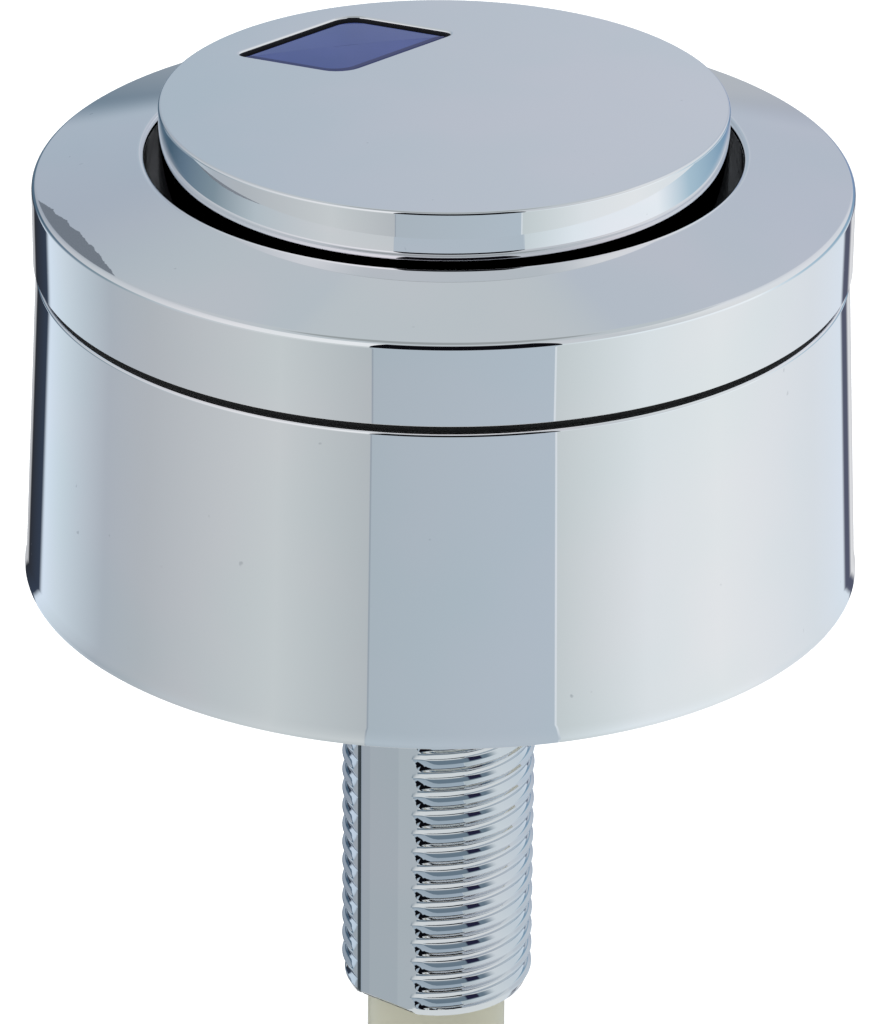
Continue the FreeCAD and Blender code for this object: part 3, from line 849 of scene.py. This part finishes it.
def add_ridges(bm, start_z):
    """Helical ridges from a height below the stem's end to one above its collar."""
    root_r = STEM_R - THREAD_DEPTH
    turns = math.ceil((-COLLAR_LENGTH - STEM_END_Z) / THREAD_PITCH) + 3
    valley_foot = THREAD_PITCH - VALLEY_W / 2
    ridge_top = valley_foot - UPPER_FLANK
    add_section(bm, [
        (root_r - VALLEY_SAG, 0),
        (root_r, VALLEY_W / 2, VALLEY_ROUND),
        (STEM_R, ridge_top - RIDGE_W, RIDGE_ROUND),
        (STEM_R, ridge_top, RIDGE_ROUND),
        (root_r, valley_foot, VALLEY_ROUND),
        (root_r - VALLEY_SAG, THREAD_PITCH),
    ], closed=False)
    bmesh.ops.translate(bm, verts=bm.verts[:], vec=(0, 0, start_z))
    spin_all(bm, steps=THREAD_STEPS, climb=THREAD_PITCH / THREAD_STEPS, joined=False)
    first_turn = everything(bm)
    for i in range(1, turns):
        copied = bmesh.ops.duplicate(bm, geom=first_turn)["geom"]
        verts = only(bmesh.types.BMVert, copied)
        bmesh.ops.translate(bm, verts=verts, vec=(0, 0, THREAD_PITCH * i))
    merge(bm, ROUGHLY)


def fill_near_flats(bm, start_z):
    """Lets the valleys run out before the flats, so that the lands beside them are solid."""
    edge = LAND_TURN + math.acos(LAND_FROM_AXIS / STEM_R)
    for vert in bm.verts:
        foot = 0.5 - up_the_valley(vert.co, start_z)
        skew = THREAD_SKEW * (SKEW_MIDDLE - foot)
        past = (from_flat(vert.co) - edge + skew) / THREAD_RUNOUT
        depth = min(1.0, max(0.0, past)) ** RUNOUT_CURVE
        radius = vert.co.xy.length
        vert.co.xy *= (STEM_R - (STEM_R - radius) * depth) / radius


def cut_flats(bm):
    """Two flats with their slightly turned lands, their chamfers at the end and their seams."""
    for turn in FLAT_TURNS:
        for aside in (-LAND_TURN, LAND_TURN):
            land = direction(turn + aside)
            cut_back(bm, land * LAND_FROM_AXIS, land, land)
        flat = direction(turn)
        cut_back(bm, flat * FLAT_FROM_AXIS, flat, flat)
        corner = flat * (FLAT_FROM_AXIS - FLAT_END_CHAMFER) + Vector((0, 0, STEM_END_Z))
        cut_back(bm, corner, Vector((flat.x, flat.y, -1)).normalized(), flat)
        cut_seam(bm, flat)


def chamfer_end(bm):
    """Draws the thread in towards the stem's end."""
    for vert in bm.verts:
        up_chamfer = (vert.co.z - STEM_END_Z) / STEM_CHAMFER_H
        if up_chamfer < 1:
            limit = STEM_R - STEM_CHAMFER * (1 - up_chamfer)
            radius = vert.co.xy.length
            if radius > limit:
                vert.co.xy *= limit / radius


def build_thread(bm):
    """Threaded skin of the stem between its collar and its end, with its flats."""
    start_z = STEM_END_Z - 2 * THREAD_PITCH
    add_ridges(bm, start_z)
    fill_near_flats(bm, start_z)
    for level, up in ((-COLLAR_LENGTH, 1), (STEM_END_Z, -1)):
        split_along(bm, (0, 0, level), (0, 0, up), drop_outer=True)
    cut_flats(bm)
    chamfer_end(bm)
    for turn in FLAT_TURNS:
        flat = direction(turn)
        join_plane(bm, flat * FLAT_FROM_AXIS, flat)


def build_stem():
    """Hollow chrome stem with its flange, collar, flats and helical thread.

    The body is closed while its screws' holes are cut. Its faces between the thread's two ends
    are then dropped, and its rims there are bridged to those of the thread.
    """
    bm = bmesh.new()
    build_thread(bm)
    levels = (-COLLAR_LENGTH, STEM_END_Z)
    thread_verts = set(bm.verts)
    rims = [e for e in bm.edges if e.is_boundary]
    body = bmesh.new()
    bush_z = HUB_TOP_Z - BUSH_LENGTH
    add_section(body, [
        (COLLAR_R, -COLLAR_LENGTH),
        (COLLAR_R, 0),
        (ROOT_R, 0),
        (ROOT_R, FLOOR_T),
        (FLANGE_R, FLOOR_T),
        (FLANGE_R, FLOOR_T + FLANGE_T),
        (HUB_R, FLOOR_T + FLANGE_T),
        (HUB_R, HUB_TOP_Z),
        (BUSH_R, HUB_TOP_Z),
        (BUSH_R, bush_z),
        (STEM_BORE_R, bush_z),
        (STEM_BORE_R, STEM_END_Z),
    ])
    spin_all(body, steps=THREAD_STEPS)
    merge(body)
    holes = bmesh.new()
    add_rods(holes, PILOT_R, FLOOR_T - PAST, FLOOR_T + FLANGE_T + PAST, BARREL_SCREW_RING_R)
    body = combine(body, holes, "DIFFERENCE")
    closing = [
        f for f in body.faces
        if all(any(abs(v.co.z - level) < ROUGHLY for v in f.verts) for level in levels)]
    bmesh.ops.delete(body, geom=closing, context="FACES")
    mesh = bpy.data.meshes.new("stem_body")
    body.to_mesh(mesh)
    body.free()
    bm.from_mesh(mesh)
    bpy.data.meshes.remove(mesh)
    new_rims = [e for e in bm.edges if e.is_boundary and e.verts[0] not in thread_verts]
    for level in levels:
        loops = [
            e for e in rims + new_rims if all(abs(v.co.z - level) < ROUGHLY for v in e.verts)]
        bmesh.ops.bridge_loops(bm, edges=loops)
    finish_mesh(
        bm, "chrome_stem", "chrome", "base", "threaded_stem", sharp=38.0, look="shaded_stem_chrome")


def build_spring(node, wire_r, turns):
    """Coil in a spring's place."""
    low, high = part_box(node)
    radius = high.x - wire_r * NODE_WIRE_REACH
    steps = round(turns * SPRING_STEPS)
    climb = (high.z - low.z - 2 * wire_r) / steps
    bm = bmesh.new()
    upright = Matrix.Rotation(math.pi / 2, 4, "X")
    place = Matrix.Translation((radius, 0, low.z + wire_r))
    bmesh.ops.create_circle(bm, segments=WIRE_SIDES, radius=wire_r, matrix=place @ upright)
    first = bm.edges[:]
    last = spin_all(bm, steps=steps, turns=turns, climb=climb, joined=False)
    bmesh.ops.edgeloop_fill(bm, edges=first)
    bmesh.ops.edgeloop_fill(bm, edges=only(bmesh.types.BMEdge, last))
    coil = finish_mesh(bm, "steel_" + node, "spring_steel", None, node, sharp=50.0)
    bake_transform(coil)


def make_camera():
    """Camera at the photograph's place, turned and shifted as its frame needs."""
    data = bpy.data.cameras.new("camera")
    data.sensor_width = SENSOR
    data.lens = FOCAL_PX * SENSOR / PHOTO_H
    data.shift_x = (PHOTO_W / 2 - AXIS_PX[0]) / PHOTO_H
    data.shift_y = (AXIS_PX[1] - PHOTO_H / 2) / PHOTO_H
    data.clip_start = CLIP_START
    camera = bpy.data.objects.new("camera", data)
    back = Vector((0, -math.cos(CAMERA_ELEVATION), math.sin(CAMERA_ELEVATION)))
    turn = Matrix.Rotation(math.pi / 2 - CAMERA_ELEVATION, 4, "X")
    roll = Matrix.Rotation(CAMERA_ROLL, 4, "Z")
    camera.matrix_world = Matrix.Translation(back * CAMERA_DISTANCE) @ turn @ roll
    bpy.context.scene.collection.objects.link(camera)
    bpy.context.scene.camera = camera


def make_floor():
    """Plain pale floor at the rod's tip, which the chrome doesn't mirror."""
    bm = bmesh.new()
    place = Matrix.Translation((0, 0, FLOOR_Z))
    bmesh.ops.create_grid(bm, x_segments=1, y_segments=1, size=FLOOR_SIZE, matrix=place)
    floor = make_object(bm, "floor")
    pale, finish, shader, _ = material("pale_floor")
    finish.feed(shader, "Base Color", rgb(0.97, 0.965, 0.955))
    finish.feed(shader, "Roughness", 0.9)
    finish.feed(shader, "Specular IOR Level", 0.0)
    floor.data.materials.append(pale)
    floor.visible_glossy = False


def make_light():
    """Large soft light overhead, which the chrome doesn't mirror."""
    data = bpy.data.lights.new("overhead", "AREA")
    data.shape = "DISK"
    data.size = LIGHT_SIZE
    data.energy = LIGHT_WATTS
    light = bpy.data.objects.new("overhead", data)
    light.location = (0, 0, LIGHT_Z)
    light.visible_glossy = False
    bpy.context.scene.collection.objects.link(light)


# Colours around the object, by direction in degrees from the front, to the right positive:
# low down on the left, in front and on the right, about the horizon, and above it
LEFT_TONES = (
    (-180, (0.50, 0.51, 0.53)),
    (-165, (0.50, 0.51, 0.53)),
    (-162, (0.025, 0.028, 0.035)),
    (-146, (0.035, 0.050, 0.080)),
    (-143, (0.68, 0.79, 0.90)),
    (-131, (0.60, 0.70, 0.77)),
    (-105, (0.42, 0.47, 0.52)),
    (-88, (0.45, 0.49, 0.52)),
    (-45, (0.59, 0.63, 0.64)),
    (-18, (0.47, 0.51, 0.53)),
)
FRONT_TONES = (
    (-19, (0.42, 0.49, 0.54)),
    (32, (0.457, 0.534, 0.60)),
)
RIGHT_TONES = (
    (31, (0.57, 0.63, 0.64)),
    (58, (0.75, 0.80, 0.82)),
    (82, (0.80, 0.84, 0.85)),
    (125, (0.71, 0.77, 0.81)),
    (149, (0.71, 0.79, 0.87)),
    (152, (0.09, 0.10, 0.15)),
    (158, (0.09, 0.10, 0.15)),
    (162, (0.75, 0.76, 0.78)),
    (180, (0.50, 0.51, 0.53)),
)
HORIZON_TONES = (
    (-180, (0.46, 0.49, 0.53)),
    (-168, (0.12, 0.19, 0.26)),
    (-138, (0.07, 0.125, 0.18)),
    (-123, (0.13, 0.20, 0.27)),
    (-101, (0.23, 0.31, 0.36)),
    (-78, (0.50, 0.57, 0.61)),
    (-45, (0.64, 0.68, 0.69)),
    (-20, (0.62, 0.66, 0.67)),
    (30, (0.64, 0.71, 0.73)),
    (52, (0.82, 0.89, 0.93)),
    (92, (0.88, 0.94, 0.97)),
    (112, (0.42, 0.58, 0.68)),
    (147, (0.21, 0.35, 0.49)),
    (160, (0.18, 0.27, 0.46)),
    (172, (0.46, 0.49, 0.53)),
)
UPPER_TONES = (
    (-180, (0.50, 0.55, 0.62)),
    (-177, (0.43, 0.51, 0.585)),
    (-166, (0.41, 0.48, 0.56)),
    (-148, (0.36, 0.41, 0.47)),
    (-125, (0.52, 0.56, 0.60)),
    (-85, (0.66, 0.69, 0.72)),
    (-60, (0.78, 0.80, 0.82)),
    (-25, (0.86, 0.88, 0.90)),
    (33, (0.60, 0.63, 0.66)),
    (50, (0.57, 0.60, 0.63)),
    (86, (0.74, 0.77, 0.78)),
    (112, (0.74, 0.78, 0.81)),
    (148, (0.66, 0.70, 0.75)),
    (157, (0.49, 0.54, 0.62)),
    (168, (0.47, 0.52, 0.60)),
    (176, (0.54, 0.59, 0.66)),
    (180, (0.50, 0.55, 0.62)),
)

# Borders in the surroundings, as directions and as heights over the horizon in degrees
FRONT = (-18.8, 31.4)
FRONT_SOFT = 0.3
LEFT_BORDER = (-19.0, -18.7)
RIGHT_BORDER = (31.2, 31.5)
LEFT_LINE = (-19.1, -18.8)
RIGHT_LINE = (31.1, 31.5)
LINE_SOFT = 0.15
SHADE_WIDE, SHADE_SOFT = (-40, 62), 20
SHADE_LOW = (-26.5, -28.5)
SPOT_WIDE, SPOT_WIDE_SOFT = (41, 55), 3
SPOT_HIGH, SPOT_HIGH_SOFT = (-60, -30.5), 1
FLOOR_FADE = (-36, -60)
HORIZON_FADE = (-20, -4)
UPPER_FADE = (3, 9)
DARK_FADE = (-6, -4)
CEILING_FADE = (49, 54)
BEHIND_FADE = (25, 46)
BEHIND_LEFT, BEHIND_LEFT_SHARE = (-120, -150), 0.75
BEHIND_RIGHT, BEHIND_RIGHT_SHARE = (120, 150), 0.3
ZENITH_FADE = (67, 73)

# Tones of single patches in the surroundings
LEFT_LINE_TONE = (0.33, 0.38, 0.43)
RIGHT_LINE_TONE = (0.70, 0.76, 0.80)
SHADE_TONE = (0.18, 0.24, 0.29)
FLOOR_TONE = (0.86, 0.87, 0.85)
SPOT_TONE = (0.02, 0.02, 0.05)
FRONT_HORIZON_TONE = (0.475, 0.55, 0.61)
DARK_TONE = (0.004, 0.004, 0.006)
CEILING_TONE = (0.526, 0.572, 0.60)
ZENITH_TONE = (0.33, 0.36, 0.37)


def tones_around(finish, share, tones):
    """Colour by the share of a full turn, from a table of directions in degrees."""
    stops = [(place / 360 + 0.5, colour) for place, colour in tones]
    return finish.node("ShaderNodeValToRGB", {"stops": stops}, {0: share}).outputs[0]


def between(value, low, high, soft):
    """1 where the value lies from low to high, with soft borders, and 0 elsewhere."""
    return value.ramp_between(low - soft, low) * (1 - value.ramp_between(high, high + soft))


def make_world():
    """Soft studio surroundings: a pale floor, bright sides, dusk low behind, a dark front."""
    world = bpy.data.worlds.new("studio")
    bpy.context.scene.world = world
    world.use_nodes = True
    finish = Finish(world.node_tree)
    way = finish.node("ShaderNodeTexCoord").outputs["Generated"]
    x, y, z = finish.split(way)
    turn = x.math("ARCTAN2", 0.0 - y)
    share = turn / (2 * math.pi) + 0.5
    rise = z.math("ARCSINE") * (180 / math.pi)
    degrees = turn * (180 / math.pi)
    left, front, right, horizon, upper = (
        tones_around(finish, share, tones)
        for tones in (LEFT_TONES, FRONT_TONES, RIGHT_TONES, HORIZON_TONES, UPPER_TONES))

    def paint(share, tone, over):
        """Lays a tone over what is there already, where share is above 0."""
        return finish.blend(share, over, rgb(*tone))

    low = finish.blend(degrees.ramp_between(*LEFT_BORDER), left, front)
    low = finish.blend(degrees.ramp_between(*RIGHT_BORDER), low, right)
    low = paint(between(degrees, *LEFT_LINE, LINE_SOFT), LEFT_LINE_TONE, low)
    low = paint(between(degrees, *RIGHT_LINE, LINE_SOFT), RIGHT_LINE_TONE, low)
    shade = between(degrees, *SHADE_WIDE, SHADE_SOFT) * rise.ramp_between(*SHADE_LOW)
    low = paint(shade, SHADE_TONE, low)
    low = paint(rise.ramp_between(*FLOOR_FADE), FLOOR_TONE, low)
    spot = between(degrees, *SPOT_WIDE, SPOT_WIDE_SOFT) * between(rise, *SPOT_HIGH, SPOT_HIGH_SOFT)
    low = paint(spot, SPOT_TONE, low)
    in_front = between(degrees, *FRONT, FRONT_SOFT)
    horizon = paint(in_front, FRONT_HORIZON_TONE, horizon)
    tone = finish.blend(rise.ramp_between(*HORIZON_FADE), low, horizon)
    tone = finish.blend(rise.ramp_between(*UPPER_FADE), tone, upper)
    tone = paint(in_front * rise.ramp_between(*DARK_FADE), DARK_TONE, tone)
    behind = degrees.ramp_between(*BEHIND_LEFT) * BEHIND_LEFT_SHARE
    behind = behind + degrees.ramp_between(*BEHIND_RIGHT) * BEHIND_RIGHT_SHARE
    ceiling = rise.ramp_between(*CEILING_FADE)
    ceiling = ceiling.math("MAXIMUM", rise.ramp_between(*BEHIND_FADE) * behind)
    tone = paint(ceiling, CEILING_TONE, tone)
    tone = paint(rise.ramp_between(*ZENITH_FADE), ZENITH_TONE, tone)
    shine = finish.node("ShaderNodeBackground", {}, {"Color": tone, "Strength": 1.0})
    finish.node("ShaderNodeOutputWorld", {}, {"Surface": shine.outputs[0]})


dress_nodes()
build_housing()
build_bezel()
build_cap()
build_key()
build_stem()
build_spring("return_spring", RETURN_WIRE_R, RETURN_TURNS)
build_spring("key_spring", KEY_WIRE_R, KEY_TURNS)
make_floor()
make_light()
make_world()
make_camera()
bpy.context.scene.view_settings.view_transform = "Standard"
